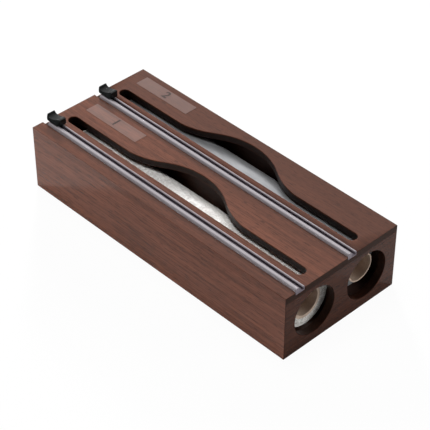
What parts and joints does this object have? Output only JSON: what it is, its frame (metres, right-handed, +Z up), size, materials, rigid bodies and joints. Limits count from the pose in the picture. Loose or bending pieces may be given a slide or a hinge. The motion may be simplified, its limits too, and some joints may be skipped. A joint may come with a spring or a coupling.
{
  "type": "kitchen wrap dispenser",
  "caption": "Low walnut box for kitchen film and foil rolls, with a hinged slotted lid, hand openings, cutter rails and sliding cutters.",
  "frame": {"origin": "middle of the box's underside, on the counter", "axes": "+X along the rolls to the right end, +Y to the hinged back, +Z up"},
  "size_m": [0.34, 0.1471, 0.0791],
  "materials": {
    "walnut": "satin lacquer over dark walnut",
    "rail_metal": "bright drawn aluminium extrusion",
    "cutter_plastic": "black moulded plastic",
    "blade_steel": "ground blade steel",
    "hinge_steel": "plated steel",
    "magnet_nickel": "nickel plated",
    "label_film": "translucent printed sticker",
    "cling_film": "wound clear film",
    "foil": "wound aluminium foil",
    "core_board": "spiral-wound kraft board"
  },
  "bodies": {
    "box": {"base_board": "walnut", "front_wall": "walnut", "back_wall": "walnut", "left_end_panel": "walnut", "right_end_panel": "walnut", "divider": "walnut", "box_hinge_leaves": "hinge_steel", "hinge_pins": "hinge_steel", "box_hinge_screws": "hinge_steel", "box_magnets": "magnet_nickel"},
    "lid": {"lid_board": "walnut", "film_rail": "rail_metal", "foil_rail": "rail_metal", "film_label": "label_film", "foil_label": "label_film", "lid_hinge_leaves": "hinge_steel", "lid_hinge_screws": "hinge_steel", "lid_magnets": "magnet_nickel"},
    "film_cutter": {"film_slider_body": "cutter_plastic", "film_slider_shoe": "cutter_plastic", "film_slider_blade": "blade_steel"},
    "foil_cutter": {"foil_slider_body": "cutter_plastic", "foil_slider_shoe": "cutter_plastic", "foil_slider_blade": "blade_steel"},
    "film": {"film_core": "core_board", "film_roll": "cling_film"},
    "foil": {"foil_core": "core_board", "foil_roll": "foil"}
  },
  "joints": [
    {"name": "lid_hinge", "type": "hinge", "parent": "box", "child": "lid", "pos_m": [0, 0.07365, 0.06405], "axis": [-1, 0, 0], "range_deg": [0, 180]},
    {"name": "film_cutter_slide", "type": "slide", "parent": "lid", "child": "film_cutter", "axis": [1, 0, 0], "range_m": [0, 0.3205]},
    {"name": "foil_cutter_slide", "type": "slide", "parent": "lid", "child": "foil_cutter", "axis": [1, 0, 0], "range_m": [0, 0.3205]},
    {"name": "film_spin", "type": "hinge", "parent": "box", "child": "film", "pos_m": [0.0077, -0.0313, 0.0353], "axis": [1, 0, 0], "continuous": true},
    {"name": "foil_spin", "type": "hinge", "parent": "box", "child": "foil", "pos_m": [0.0005, 0.0365, 0.0353], "axis": [1, 0, 0], "continuous": true}
  ]
}
